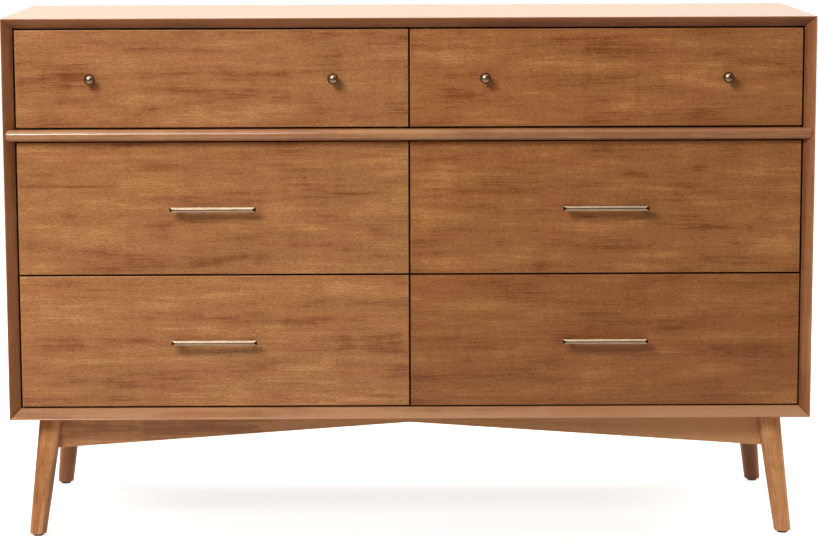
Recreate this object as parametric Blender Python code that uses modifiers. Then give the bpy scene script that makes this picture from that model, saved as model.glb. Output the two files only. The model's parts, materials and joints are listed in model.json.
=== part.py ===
"""Six-drawer dresser on splayed round legs, every real piece a separate solid.

Metres, +Z up. The front faces -Y, the floor is Z = 0, and the origin lies under the middle
of the overall box. "Left" and "right" are as seen from the front.
"""
import math
from collections import namedtuple

import bmesh
import bpy
from mathutils import Matrix, Vector

# Case
CASE_WIDTH = 1.420
CASE_DEPTH = 0.457
CASE_CLEARANCE = 0.212       # floor to the underside of the case
CASE_BOARD = 0.018
BEVEL_DEPTH = 0.0195         # how far the sloping front edge runs back to the drawer faces
EDGE_LAND = 0.0015           # flat left along the foremost edge
BACK_PANEL = 0.006
REBATE_WIDTH = 0.009         # how far the back panel laps into the case boards

# Inside the case
DIVIDER = 0.018
DUST_PANEL = 0.018
RAIL_HEIGHT = 0.020
RAIL_DEPTH = 0.045
RAIL_SETBACK = 0.001         # the rail's nose lies this far behind the case's front edge
NOSE_LAND = 0.001            # flat left on the rail's rounded nose

# Drawers
REVEAL = 0.003               # gap round each drawer front
TOP_FRONT_HEIGHT = 0.171
LOWER_FRONT_HEIGHT = 0.234
FRONT_THICKNESS = 0.018
STOP_GAP = 0.0005            # between a closed front and the divider that stops it
BOX_SIDE = 0.012
BOX_BACK = 0.012
BOX_BOTTOM = 0.006
BOTTOM_LIFT = 0.010          # running edge to the underside of the drawer bottom
GROOVE_DEPTH = 0.006
BOX_INSET = 0.0005           # how far the box sides lie inside the edges of the front
HEAD_ROOM = 0.005            # box side to the panel above
REAR_ROOM = 0.022            # box to the back panel

# Legs and aprons
LEG_INSET_X = 0.069          # leg's top centre, in from the case's side
LEG_INSET_Y = 0.046          # the same, in from its front or back
LEG_SPLAY_X = 0.025          # how far the foot stands outwards of the top, to the side
LEG_SPLAY_Y = 0.029          # the same, to the front or back
LEG_TOP_DIAMETER = 0.042
LEG_FOOT_DIAMETER = 0.030
LEG_EASE = 0.0015            # rounding of the lower edge
GLIDE_DIAMETER = 0.018
GLIDE_HEIGHT = 0.0035
GLIDE_EASE = 0.0006
APRON_THICKNESS = 0.018
APRON_SETBACK = 0.0095       # apron's middle plane, inwards of the leg's top centre
APRON_END_HEIGHT = 0.060     # at the leg's top centre line
APRON_MIDDLE_HEIGHT = 0.015

# Knobs on the top drawers
KNOB_DIAMETER = 0.019
KNOB_STEM_DIAMETER = 0.009
KNOB_PROJECTION = 0.025
KNOB_SPACING = 0.4245        # between the two knobs of one drawer

# Bar pulls on the lower drawers
PULL_LENGTH = 0.151
PULL_PROJECTION = 0.0245
PULL_THICKNESS = 0.008       # front to back of the bar itself
PULL_ROOF = 0.0026           # front to back of its sloping facets
PULL_HEIGHT = 0.0092
PULL_RIDGE = 0.0022          # flat along the front
PULL_HIP = 0.006             # how far each end slopes in between shoulder and ridge
POST_SPACING = 0.128         # between the middles of the two posts
POST_WIDTH = 0.006           # both ways, as the posts are square

# Clearances
JOINT_GAP = 0.0003           # between pieces that are fixed together
RUNNING_GAP = 0.0003         # under the drawer sides

ROUND_SEGMENTS = 32
NOSE_SEGMENTS = 6
BALL_STEPS = 12
CUTTER_MARGIN = 0.010        # how far a cutter reaches past what it cuts

# Places worked out from the sizes
HALF_WIDTH = CASE_WIDTH / 2
INNER_HALF_WIDTH = HALF_WIDTH - CASE_BOARD
HARDWARE_REACH = max(KNOB_PROJECTION, PULL_PROJECTION) - BEVEL_DEPTH
FRONT_Y = HARDWARE_REACH - (CASE_DEPTH + HARDWARE_REACH) / 2
BACK_Y = FRONT_Y + CASE_DEPTH
FACE_Y = FRONT_Y + BEVEL_DEPTH
FACE_BACK_Y = FACE_Y + FRONT_THICKNESS
INNER_FRONT_Y = FACE_BACK_Y + STOP_GAP
RAIL_FRONT_Y = FRONT_Y + RAIL_SETBACK
RAIL_BACK_Y = RAIL_FRONT_Y + RAIL_DEPTH
INNER_BACK_Y = BACK_Y - BACK_PANEL - JOINT_GAP
BOX_BACK_Y = INNER_BACK_Y - REAR_ROOM

CASE_BOTTOM_Z = CASE_CLEARANCE
FLOOR_Z = CASE_BOTTOM_Z + CASE_BOARD
BOTTOM_FRONT_Z = FLOOR_Z + REVEAL
MIDDLE_FRONT_Z = BOTTOM_FRONT_Z + LOWER_FRONT_HEIGHT + REVEAL
DUST_PANEL_Z = MIDDLE_FRONT_Z - REVEAL / 2 - DUST_PANEL / 2
RAIL_Z = MIDDLE_FRONT_Z + LOWER_FRONT_HEIGHT + REVEAL
RAIL_TOP_Z = RAIL_Z + RAIL_HEIGHT
TOP_FRONT_Z = RAIL_TOP_Z + REVEAL
CEILING_Z = TOP_FRONT_Z + TOP_FRONT_HEIGHT + REVEAL
CASE_TOP_Z = CEILING_Z + CASE_BOARD

# A row of drawers: front's lower edge and height, surface it runs on, panel above it
Row = namedtuple("Row", "name front_z front_height floor_z ceiling_z")
ROWS = (
    Row("top", TOP_FRONT_Z, TOP_FRONT_HEIGHT, RAIL_TOP_Z, CEILING_Z),
    Row("middle", MIDDLE_FRONT_Z, LOWER_FRONT_HEIGHT, DUST_PANEL_Z + DUST_PANEL, RAIL_Z),
    Row("bottom", BOTTOM_FRONT_Z, LOWER_FRONT_HEIGHT, FLOOR_Z, DUST_PANEL_Z),
)
SIDES = (("left", -1), ("right", 1))
ENDS = (("front", -1), ("rear", 1))


def clear_scene():
    for obj in list(bpy.data.objects):
        bpy.data.objects.remove(obj, do_unlink=True)


def make_collection(name):
    collection = bpy.data.collections.new(name)
    bpy.context.scene.collection.children.link(collection)
    return collection


def make_material(name, colour, roughness, metallic=0.0):
    material = bpy.data.materials.new(name)
    material.use_nodes = True
    shader = material.node_tree.nodes["Principled BSDF"]
    shader.inputs["Base Color"].default_value = (*colour, 1.0)
    shader.inputs["Roughness"].default_value = roughness
    shader.inputs["Metallic"].default_value = metallic
    return material


clear_scene()
DRESSER = make_collection("dresser")
CUTTERS = make_collection("cutters")

CASE_WOOD = make_material("case_wood", (0.31, 0.13, 0.06), 0.40)
FRONT_WOOD = make_material("front_wood", (0.36, 0.15, 0.06), 0.40)
LEG_WOOD = make_material("leg_wood", (0.40, 0.18, 0.07), 0.45)
BOX_WOOD = make_material("box_wood", (0.55, 0.38, 0.22), 0.60)
PANEL_WOOD = make_material("panel_wood", (0.42, 0.27, 0.15), 0.65)
BRONZE = make_material("bronze", (0.20, 0.14, 0.09), 0.32, metallic=1.0)
GLIDE_NYLON = make_material("glide_nylon", (0.03, 0.018, 0.012), 0.55)


def add_object(name, mesh, location, collection, parent=None):
    """Place a mesh in the world, riding its parent where it has one."""
    obj = bpy.data.objects.new(name, mesh)
    obj.location = location
    if parent is not None:
        obj.location = Vector(location) - parent.location
        obj.parent = parent
    collection.objects.link(obj)
    return obj


def add_piece(name, bm, location, material, parent=None):
    mesh = bpy.data.meshes.new(name)
    bm.to_mesh(mesh)
    bm.free()
    mesh.materials.append(material)
    return add_object(name, mesh, location, DRESSER, parent)


def add_cutter(name, bm, location, parent=None):
    mesh = bpy.data.meshes.new(name)
    bm.to_mesh(mesh)
    bm.free()
    cutter = add_object(name, mesh, location, CUTTERS, parent)
    cutter.hide_render = True
    cutter.display_type = "WIRE"
    return cutter


def subtract(obj, cutter):
    """Cut one solid out of another, exactly."""
    boolean = obj.modifiers.new("cut_" + cutter.name, "BOOLEAN")
    boolean.operation = "DIFFERENCE"
    boolean.solver = "EXACT"
    boolean.object = cutter


def round_shading(obj):
    obj.data.shade_smooth()
    obj.data.set_sharp_from_angle(angle=math.radians(35))


def box_bmesh(size):
    bm = bmesh.new()
    bmesh.ops.create_cube(bm, size=1.0, matrix=Matrix.Diagonal((*size, 1.0)))
    return bm


def slice_off(bm, point, normal):
    """Remove what lies on the normal's side of a plane and close the cut."""
    geometry = bm.verts[:] + bm.edges[:] + bm.faces[:]
    cut = bmesh.ops.bisect_plane(
        bm, geom=geometry, plane_co=point, plane_no=normal, clear_outer=True)
    rim = [item for item in cut["geom_cut"] if isinstance(item, bmesh.types.BMEdge)]
    bmesh.ops.edgeloop_fill(bm, edges=rim)


def centre_and_size(xs, ys, zs):
    spans = [sorted(span) for span in (xs, ys, zs)]
    centre = Vector([(low + high) / 2 for low, high in spans])
    size = Vector([high - low for low, high in spans])
    return centre, size


def board(name, xs, ys, zs, material, cuts=(), parent=None):
    """A board between three spans, trimmed by planes given as a world point and a normal."""
    centre, size = centre_and_size(xs, ys, zs)
    bm = box_bmesh(size)
    for point, normal in cuts:
        slice_off(bm, Vector(point) - centre, normal)
    return add_piece(name, bm, centre, material, parent)


def box_cutter(name, xs, ys, zs, cuts=(), parent=None):
    centre, size = centre_and_size(xs, ys, zs)
    bm = box_bmesh(size)
    for point, normal in cuts:
        slice_off(bm, Vector(point) - centre, normal)
    return add_cutter(name, bm, centre, parent)


def empty(name, location):
    """A handle that a moving body's pieces ride on."""
    handle = bpy.data.objects.new(name, None)
    handle.empty_display_size = 0.05
    handle.location = location
    DRESSER.objects.link(handle)
    return handle


# Case

def mitre_plane(corner_x, corner_z, normal):
    """The 45 degree plane through a corner of the case, drawn back by half a joint gap."""
    unit = Vector(normal).normalized()
    return Vector((corner_x, 0.0, corner_z)) - unit * JOINT_GAP / 2, unit


def bevel_plane(outer_face, inward, gap=0.0):
    """The sloping front edge of a case wall whose outer face passes through a point."""
    inward = Vector(inward)
    unit = (inward * BEVEL_DEPTH + Vector((0, -1, 0)) * (CASE_BOARD - EDGE_LAND)).normalized()
    edge = Vector(outer_face) + inward * EDGE_LAND
    edge.y = FRONT_Y
    return edge + unit * gap, unit


def make_side_panel(name, side):
    outer_x = side * HALF_WIDTH
    cuts = (
        mitre_plane(outer_x, CASE_TOP_Z, (-side, 0, 1)),
        mitre_plane(outer_x, CASE_BOTTOM_Z, (-side, 0, -1)),
        bevel_plane((outer_x, 0, 0), (-side, 0, 0)),
    )
    return board(name, (side * INNER_HALF_WIDTH, outer_x), (FRONT_Y, BACK_Y),
                 (CASE_BOTTOM_Z, CASE_TOP_Z), CASE_WOOD, cuts)


def make_flat_panel(name, outer_z, up):
    """The top or bottom of the case: up is 1 for the top and -1 for the bottom."""
    cuts = [mitre_plane(side * HALF_WIDTH, outer_z, (side, 0, -up)) for _, side in SIDES]
    cuts.append(bevel_plane((0, 0, outer_z), (0, 0, -up)))
    return board(name, (-HALF_WIDTH, HALF_WIDTH), (FRONT_Y, BACK_Y),
                 (outer_z - up * CASE_BOARD, outer_z), CASE_WOOD, cuts)


def make_case():
    """Four mitred boards, rebated at the rear for the back panel."""
    panels = [make_side_panel("side_panel_" + word, side) for word, side in SIDES]
    panels.append(make_flat_panel("top_panel", CASE_TOP_Z, 1))
    panels.append(make_flat_panel("bottom_panel", CASE_BOTTOM_Z, -1))
    half = INNER_HALF_WIDTH + REBATE_WIDTH
    rebate = box_cutter("back_rebate", (-half, half),
                        (BACK_Y - BACK_PANEL - JOINT_GAP, BACK_Y + CUTTER_MARGIN),
                        (FLOOR_Z - REBATE_WIDTH, CEILING_Z + REBATE_WIDTH))
    for panel in panels:
        subtract(panel, rebate)
    half -= JOINT_GAP
    board("back_panel", (-half, half), (BACK_Y - BACK_PANEL, BACK_Y),
          (FLOOR_Z - REBATE_WIDTH + JOINT_GAP, CEILING_Z + REBATE_WIDTH - JOINT_GAP),
          PANEL_WOOD)


def make_middle_rail():
    """A round-nosed rail whose ends die on the sloping edges of the side panels."""
    length = 2 * (HALF_WIDTH - EDGE_LAND)
    bm = box_bmesh((length, RAIL_DEPTH, RAIL_HEIGHT))
    nose = [edge for edge in bm.edges
            if all(vert.co.y < 0 for vert in edge.verts)
            and abs(edge.verts[0].co.x - edge.verts[1].co.x) > length / 2]
    bmesh.ops.bevel(bm, geom=nose, offset=(RAIL_HEIGHT - NOSE_LAND) / 2,
                    segments=NOSE_SEGMENTS, profile=0.5, affect="EDGES")
    centre = Vector((0, RAIL_FRONT_Y + RAIL_DEPTH / 2, RAIL_Z + RAIL_HEIGHT / 2))
    rail = add_piece("middle_rail", bm, centre, CASE_WOOD)
    for word, side in SIDES:
        cut = bevel_plane((side * HALF_WIDTH, 0, 0), (-side, 0, 0), JOINT_GAP)
        subtract(rail, box_cutter(
            "rail_end_" + word,
            (side * (INNER_HALF_WIDTH - JOINT_GAP), side * (HALF_WIDTH + CUTTER_MARGIN)),
            (FRONT_Y - CUTTER_MARGIN, RAIL_BACK_Y + CUTTER_MARGIN),
            (RAIL_Z - CUTTER_MARGIN, RAIL_TOP_Z + CUTTER_MARGIN), (cut,)))
    round_shading(rail)


def make_inner_frame():
    """The shelf behind the rail, the upright dividers and the panels between the lower rows."""
    half = INNER_HALF_WIDTH - JOINT_GAP
    board("middle_shelf", (-half, half), (RAIL_BACK_Y + JOINT_GAP, INNER_BACK_Y),
          (RAIL_Z, RAIL_TOP_Z), PANEL_WOOD)
    depth = (INNER_FRONT_Y, INNER_BACK_Y)
    thickness = (-DIVIDER / 2, DIVIDER / 2)
    board("divider_upper", thickness, depth,
          (RAIL_TOP_Z + JOINT_GAP, CEILING_Z - JOINT_GAP), PANEL_WOOD)
    board("divider_lower", thickness, depth,
          (FLOOR_Z + JOINT_GAP, RAIL_Z - JOINT_GAP), PANEL_WOOD)
    for word, side in SIDES:
        board("dust_panel_" + word, (side * (DIVIDER / 2 + JOINT_GAP), side * half), depth,
              (DUST_PANEL_Z, DUST_PANEL_Z + DUST_PANEL), PANEL_WOOD)


# Legs and aprons

def leg_centre(side, end):
    """Where a leg's centre line meets the underside of the case."""
    middle_y = (FRONT_Y + BACK_Y) / 2
    return Vector((side * (HALF_WIDTH - LEG_INSET_X),
                   middle_y + end * (CASE_DEPTH / 2 - LEG_INSET_Y), CASE_BOTTOM_Z))


def leg_bmesh(side, end, grow=0.0):
    """A tapered round leg hanging from the origin, leaning outwards, widened by grow."""
    length = CASE_CLEARANCE - GLIDE_HEIGHT - 2 * JOINT_GAP
    bm = bmesh.new()
    bmesh.ops.create_cone(bm, cap_ends=True, segments=ROUND_SEGMENTS,
                          radius1=LEG_FOOT_DIAMETER / 2 + grow,
                          radius2=LEG_TOP_DIAMETER / 2 + grow, depth=length)
    foot_rim = [edge for edge in bm.edges if all(vert.co.z < 0 for vert in edge.verts)]
    bmesh.ops.bevel(bm, geom=foot_rim, offset=LEG_EASE, segments=2, profile=0.5,
                    affect="EDGES")
    bmesh.ops.translate(bm, verts=bm.verts, vec=(0, 0, -length / 2))
    lean = Matrix.Shear("XY", 3, (-side * LEG_SPLAY_X / length, -end * LEG_SPLAY_Y / length))
    bmesh.ops.transform(bm, matrix=lean.to_4x4(), verts=bm.verts)
    return bm


def make_glide(name, foot):
    """The disc under a leg, standing on the floor."""
    bm = bmesh.new()
    bmesh.ops.create_cone(bm, cap_ends=True, segments=ROUND_SEGMENTS,
                          radius1=GLIDE_DIAMETER / 2, radius2=GLIDE_DIAMETER / 2,
                          depth=GLIDE_HEIGHT)
    rim = [edge for edge in bm.edges if all(vert.co.z < 0 for vert in edge.verts)]
    bmesh.ops.bevel(bm, geom=rim, offset=GLIDE_EASE, segments=1, affect="EDGES")
    glide = add_piece(name, bm, (foot.x, foot.y, GLIDE_HEIGHT / 2), GLIDE_NYLON)
    round_shading(glide)


def make_leg(word, side, end):
    top = leg_centre(side, end)
    leg = add_piece("leg_" + word, leg_bmesh(side, end), top - Vector((0, 0, JOINT_GAP)),
                    LEG_WOOD)
    round_shading(leg)
    foot = top + Vector((side * LEG_SPLAY_X, end * LEG_SPLAY_Y, 0))
    make_glide("glide_" + word, foot)


def make_apron(name, end):
    """The board between two legs, its lower edge rising to a shallow peak at the middle."""
    reach = HALF_WIDTH - LEG_INSET_X
    height = APRON_END_HEIGHT - JOINT_GAP
    bm = box_bmesh((reach, APRON_THICKNESS, height))
    bmesh.ops.translate(bm, verts=bm.verts, vec=(reach / 2, 0, -height / 2))
    rise = APRON_END_HEIGHT - APRON_MIDDLE_HEIGHT
    slice_off(bm, (reach, 0, -height), (-rise, 0, -reach))
    inner = [face for face in bm.faces if all(vert.co.x < 1e-6 for vert in face.verts)]
    bmesh.ops.delete(bm, geom=inner, context="FACES_ONLY")
    y = leg_centre(1, end).y - end * APRON_SETBACK
    apron = add_piece(name, bm, (0, y, CASE_BOTTOM_Z - JOINT_GAP), CASE_WOOD)
    mirror = apron.modifiers.new("halves", "MIRROR")
    mirror.merge_threshold = 0.00001
    for word, side in SIDES:
        coped = add_cutter(name + "_cope_" + word, leg_bmesh(side, end, JOINT_GAP),
                           leg_centre(side, end))
        subtract(apron, coped)


def make_base():
    for end_word, end in ENDS:
        for side_word, side in SIDES:
            make_leg(end_word + "_" + side_word, side, end)
        make_apron("apron_" + end_word, end)


# Drawers

def make_knob(name, x, z, parent):
    """A ball on a short stem, turned about the line square to the drawer front."""
    ball = KNOB_DIAMETER / 2
    stem = KNOB_STEM_DIAMETER / 2
    ball_height = KNOB_PROJECTION - ball
    neck = math.acos(-math.sqrt(ball ** 2 - stem ** 2) / ball)
    profile = [(ball * math.sin(neck * step / BALL_STEPS),
                ball_height + ball * math.cos(neck * step / BALL_STEPS))
               for step in range(BALL_STEPS + 1)]
    profile += [(stem, JOINT_GAP), (0.0, JOINT_GAP)]
    mesh = bpy.data.meshes.new(name)
    vertices = [(radius, 0.0, height) for radius, height in profile]
    mesh.from_pydata(vertices, [(i, i + 1) for i in range(len(vertices) - 1)], [])
    mesh.materials.append(BRONZE)
    knob = add_object(name, mesh, (x, FACE_Y, z), DRESSER, parent)
    knob.rotation_euler = (math.pi / 2, 0, 0)
    turning = knob.modifiers.new("turning", "SCREW")
    turning.steps = ROUND_SEGMENTS
    turning.render_steps = ROUND_SEGMENTS
    turning.use_merge_vertices = True
    turning.merge_threshold = 0.00001
    turning.use_smooth_shade = True


def pull_bmesh():
    """A bar with a hipped roof for its front and two square posts behind it, as one solid."""
    bm = box_bmesh((PULL_LENGTH, PULL_THICKNESS, PULL_HEIGHT))
    bar_back = PULL_THICKNESS - PULL_PROJECTION
    bmesh.ops.translate(bm, verts=bm.verts, vec=(0, bar_back - PULL_THICKNESS / 2, 0))
    shoulder_y = PULL_ROOF - PULL_PROJECTION
    cuts = [((0, shoulder_y, 0), (0, 1, 0))]
    for middle_x in (-POST_SPACING / 2, POST_SPACING / 2):
        cuts += [((middle_x + POST_WIDTH * half, 0, 0), (1, 0, 0)) for half in (-0.5, 0.5)]
    cuts += [((0, 0, POST_WIDTH * half), (0, 0, 1)) for half in (-0.5, 0.5)]
    for point, normal in cuts:
        geometry = bm.verts[:] + bm.edges[:] + bm.faces[:]
        bmesh.ops.bisect_plane(bm, geom=geometry, plane_co=point, plane_no=normal)
    for vert in bm.verts:
        if vert.co.y < shoulder_y - 1e-6:
            vert.co.z *= PULL_RIDGE / PULL_HEIGHT
            if abs(vert.co.x) > PULL_LENGTH / 2 - 1e-6:
                vert.co.x -= math.copysign(PULL_HIP, vert.co.x)
    seats = [face for face in bm.faces if is_post_seat(face, bar_back)]
    posts = bmesh.ops.extrude_discrete_faces(bm, faces=seats)["faces"]
    ends = {vert for face in posts for vert in face.verts}
    bmesh.ops.translate(bm, verts=list(ends), vec=(0, -JOINT_GAP - bar_back, 0))
    return bm


def is_post_seat(face, bar_back):
    """Whether a face of the bar is where a post grows from its back."""
    centre = face.calc_center_median()
    return (abs(centre.y - bar_back) < 1e-6 and abs(centre.z) < 1e-6
            and abs(abs(centre.x) - POST_SPACING / 2) < 1e-6)


def make_pull(name, x, z, parent):
    add_piece(name, pull_bmesh(), (x, FACE_Y, z), BRONZE, parent)


def make_drawer_box(prefix, row, xs, front, parent):
    """Two sides, a back over the bottom, and the bottom in grooves in the sides and front."""
    low_z = row.floor_z + RUNNING_GAP
    high_z = row.ceiling_z - HEAD_ROOM
    left_x, right_x = xs
    ys = (FACE_BACK_Y + JOINT_GAP, BOX_BACK_Y)
    side_left = board(prefix + "_side_left", (left_x, left_x + BOX_SIDE), ys,
                      (low_z, high_z), BOX_WOOD, parent=parent)
    side_right = board(prefix + "_side_right", (right_x - BOX_SIDE, right_x), ys,
                       (low_z, high_z), BOX_WOOD, parent=parent)
    bottom_z = low_z + BOTTOM_LIFT
    bottom_top_z = bottom_z + BOX_BOTTOM
    groove = box_cutter(prefix + "_groove",
                        (left_x + BOX_SIDE - GROOVE_DEPTH, right_x - BOX_SIDE + GROOVE_DEPTH),
                        (FACE_BACK_Y - GROOVE_DEPTH, BOX_BACK_Y + CUTTER_MARGIN),
                        (bottom_z - JOINT_GAP, bottom_top_z + JOINT_GAP), parent=parent)
    for piece in (side_left, side_right, front):
        subtract(piece, groove)
    inset = BOX_SIDE - GROOVE_DEPTH + JOINT_GAP
    board(prefix + "_bottom", (left_x + inset, right_x - inset),
          (FACE_BACK_Y - GROOVE_DEPTH + JOINT_GAP, BOX_BACK_Y), (bottom_z, bottom_top_z),
          PANEL_WOOD, parent=parent)
    inset = BOX_SIDE + JOINT_GAP
    board(prefix + "_back", (left_x + inset, right_x - inset),
          (BOX_BACK_Y - BOX_BACK, BOX_BACK_Y), (bottom_top_z + JOINT_GAP, high_z),
          BOX_WOOD, parent=parent)


def make_drawer(row, word, side):
    name = row.name + "_" + word
    inner_x = side * REVEAL / 2
    outer_x = side * (INNER_HALF_WIDTH - REVEAL)
    middle_x = (inner_x + outer_x) / 2
    middle_z = row.front_z + row.front_height / 2
    handle = empty(name + "_drawer", (middle_x, FACE_Y, middle_z))
    front = board(name + "_drawer_front", (inner_x, outer_x), (FACE_Y, FACE_BACK_Y),
                  (row.front_z, row.front_z + row.front_height), FRONT_WOOD, parent=handle)
    clearance = REVEAL + BOX_INSET
    box_xs = sorted((side * (DIVIDER / 2 + clearance), side * (INNER_HALF_WIDTH - clearance)))
    make_drawer_box(name + "_drawer", row, box_xs, front, handle)
    if row.name == "top":
        for knob_word, knob_side in SIDES:
            make_knob(name + "_knob_" + knob_word, middle_x + knob_side * KNOB_SPACING / 2,
                      middle_z, handle)
    else:
        make_pull(name + "_pull", middle_x, middle_z, handle)


make_case()
make_middle_rail()
make_inner_frame()
make_base()
for row in ROWS:
    for word, side in SIDES:
        make_drawer(row, word, side)
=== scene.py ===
"""A low six-drawer dresser on splayed legs: its wood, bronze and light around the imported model."""

import json
import math

import bmesh
import bpy
import numpy as np
from mathutils import Matrix, Vector

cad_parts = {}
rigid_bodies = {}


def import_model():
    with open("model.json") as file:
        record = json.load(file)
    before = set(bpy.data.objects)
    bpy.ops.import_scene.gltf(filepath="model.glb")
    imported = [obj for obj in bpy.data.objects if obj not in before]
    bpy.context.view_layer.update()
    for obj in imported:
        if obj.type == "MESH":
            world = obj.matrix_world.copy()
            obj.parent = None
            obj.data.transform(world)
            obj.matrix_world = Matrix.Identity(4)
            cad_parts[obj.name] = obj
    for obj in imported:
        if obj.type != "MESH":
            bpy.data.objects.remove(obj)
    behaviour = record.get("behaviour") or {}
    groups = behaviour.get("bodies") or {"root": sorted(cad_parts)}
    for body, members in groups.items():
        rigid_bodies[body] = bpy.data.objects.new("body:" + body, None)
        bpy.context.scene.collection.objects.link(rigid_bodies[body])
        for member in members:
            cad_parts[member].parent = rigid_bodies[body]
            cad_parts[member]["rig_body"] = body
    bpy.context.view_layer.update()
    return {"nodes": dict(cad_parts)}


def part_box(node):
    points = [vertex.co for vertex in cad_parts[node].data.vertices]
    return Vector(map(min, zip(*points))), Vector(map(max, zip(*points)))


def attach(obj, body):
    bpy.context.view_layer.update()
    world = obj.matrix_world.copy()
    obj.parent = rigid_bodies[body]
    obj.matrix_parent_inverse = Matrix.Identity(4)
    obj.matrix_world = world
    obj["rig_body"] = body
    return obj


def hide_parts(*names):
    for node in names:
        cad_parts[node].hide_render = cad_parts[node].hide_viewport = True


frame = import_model()
NODES = frame["nodes"]

# Words for the places of pieces; a side's number says which way is outwards
ROWS = ("top", "middle", "bottom")
SIDES = (("left", -1), ("right", 1))
ENDS = ("front", "rear")

# Lengths in metres, angles in radians
MM = 0.001
JOIN_DISTANCE = 1e-6
TOUCH_DISTANCE = 1e-5
SMOOTH_ANGLE = math.radians(38)
FLAT_ANGLE = math.radians(0.4)
EDGE_ANGLE = math.radians(25)

CASE_EASE = 0.0009
MITRE_EASE = 0.0003
FRONT_EASE = 0.0014
BOX_EASE = 0.0009
APRON_EASE = 0.0012
BACK_EASE = 0.0004
PULL_EASE = 0.0003

SLOPING_EDGE = 0.0195
RAIL_NOSE_STEPS = 28
RAIL_END_GAP = 0.0012
RAIL_END_ROUND = 0.0032
RAIL_END_STEPS = 7

LEG_SIDES = 72
LEG_STEPS = 9
LEG_EASE_STEPS = 7
LEG_REACH = 0.018
LEG_EASE = 0.0020
FOOT_EASE_LOSS = 0.0001

KNOB_BALL = 0.0095
KNOB_STEM = 0.0042
KNOB_FLANGE = 0.0062
KNOB_FLANGE_DEPTH = 0.0011
KNOB_FLANGE_ROUND = 0.0005
KNOB_WAIST = ((0.0008, KNOB_FLANGE_DEPTH), (0.0002, 0.0016), (0.0, 0.0024))
KNOB_DARK_BEHIND = 0.001
KNOB_DARK_FADE_BEFORE = 0.0065
GLIDE_LIP = 0.0007
GLIDE_EDGE = 0.0003
LATHE_SIDES = 64

BACK_INSET = 0.0022
EDGE_TO_SCREW = 0.007
BACK_SCREWS_ACROSS = 7
BACK_SCREW_ROWS = 5
BACK_SCREW_RADIUS = 0.0036
HANDLE_SCREW_RADIUS = 0.0042
SCREW_SUNK = 0.0001
SCREW_SIDES = 20
SCREW_PATINA = 0.25

BLOCK_LENGTH = 0.045
BLOCK_WIDTH = 0.016
BLOCK_GAP = 0.0003
BLOCK_EASE = 0.0025
BLOCK_PLACES = (-0.48, -0.32, -0.16, 0.16, 0.32, 0.48)

PIN_PROUD = 0.00012
PIN_WIDTH = 0.0055
PIN_FAR_WIDTH = 0.0105
PIN_SPACING = 0.024
PIN_LENGTH = 0.0115
PIN_END_GAP = 0.0002
PIN_THICKNESS = 0.0006
PULL_POST_REACH = 0.064

# Painted shade on the inner boards behind the drawer gaps: full in front of this depth, fading out
# over the next length behind it
GAP_SHADE_START_Y = -0.186
GAP_SHADE_FADE = 0.016

# Tints that the stain is multiplied by; the first is painted shade, which darkens the faces seen in
# the gaps between drawers and case
PAINTED_GAP_SHADE = (0.35, 0.17, 0.10, 1.0)
GOLDEN_TINT = (0.985, 1.005, 0.96, 1.0)
ROSY_TINT = (1.015, 0.985, 1.01, 1.0)
STREAK_TINT = (0.58, 0.44, 0.32, 1.0)
PORE_TINT = (0.42, 0.32, 0.27, 1.0)


# Small helpers for node trees

def colour(red, green, blue):
    """Screen values from 0 to 255, as the linear colour that a node takes."""
    def linear(value):
        value /= 255
        return value / 12.92 if value <= 0.04045 else ((value + 0.055) / 1.055) ** 2.4
    return (linear(red), linear(green), linear(blue), 1.0)


def feed(tree, socket, value):
    """Links a socket into another, or writes a plain value into it."""
    if isinstance(value, bpy.types.NodeSocket):
        tree.links.new(value, socket)
    elif value is not None:
        socket.default_value = value


def fill(tree, node, inputs):
    """Feeds a node's inputs, which go by socket name or number."""
    for key, value in dict(inputs).items():
        feed(tree, node.inputs[key], value)
    return node


def put(tree, kind, inputs=(), **settings):
    """A new node with its settings and inputs."""
    made = tree.nodes.new(kind)
    for key, value in settings.items():
        setattr(made, key, value)
    return fill(tree, made, inputs)


def maths(tree, operation, *values, clamp=False):
    return put(tree, "ShaderNodeMath", enumerate(values), operation=operation,
               use_clamp=clamp).outputs[0]


def times(tree, first, second, clamp=False):
    return maths(tree, "MULTIPLY", first, second, clamp=clamp)


def vectors(tree, operation, *values):
    made = put(tree, "ShaderNodeVectorMath", enumerate(values), operation=operation)
    return made.outputs["Value" if operation in ("LENGTH", "DOT_PRODUCT") else "Vector"]


def vector_of(tree, **parts):
    """A vector from its parts X, Y and Z, of which those left out are 0."""
    return put(tree, "ShaderNodeCombineXYZ", parts).outputs[0]


def parts_of(tree, vector):
    """The parts X, Y and Z of a vector."""
    return put(tree, "ShaderNodeSeparateXYZ", {0: vector}).outputs


def blend(tree, factor, first, second, mode="MIX"):
    """Mixes two colours."""
    return put(tree, "ShaderNodeMix", {0: factor, 6: first, 7: second},
               data_type="RGBA", blend_type=mode).outputs[2]


def level(tree, value, low, high, to_low=0.0, to_high=1.0):
    """Spreads the part of a value between low and high over a new range, with soft ends."""
    return put(tree, "ShaderNodeMapRange",
               {"Value": value, "From Min": low, "From Max": high, "To Min": to_low,
                "To Max": to_high}, interpolation_type="SMOOTHSTEP").outputs["Result"]


def noise(tree, place, stretch, detail, roughness=0.55, output="Fac"):
    """Noise whose grains are 1/stretch long in each direction."""
    spread = vectors(tree, "MULTIPLY", place, stretch)
    return put(tree, "ShaderNodeTexNoise",
               {"Vector": spread, "Scale": 1.0, "Detail": detail,
                "Roughness": roughness}).outputs[output]


def drift(tree, place, still, stretch, reach, detail=2):
    """Moves a place by noise that is read at a place that keeps still."""
    way = noise(tree, still, stretch, detail, output="Color")
    way = vectors(tree, "SUBTRACT", way, (0.5, 0.5, 0.5))
    return vectors(tree, "MULTIPLY_ADD", way, reach, place)


def bump(tree, height, strength, distance):
    return put(tree, "ShaderNodeBump",
               {"Height": height, "Strength": strength, "Distance": distance}).outputs[0]


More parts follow.
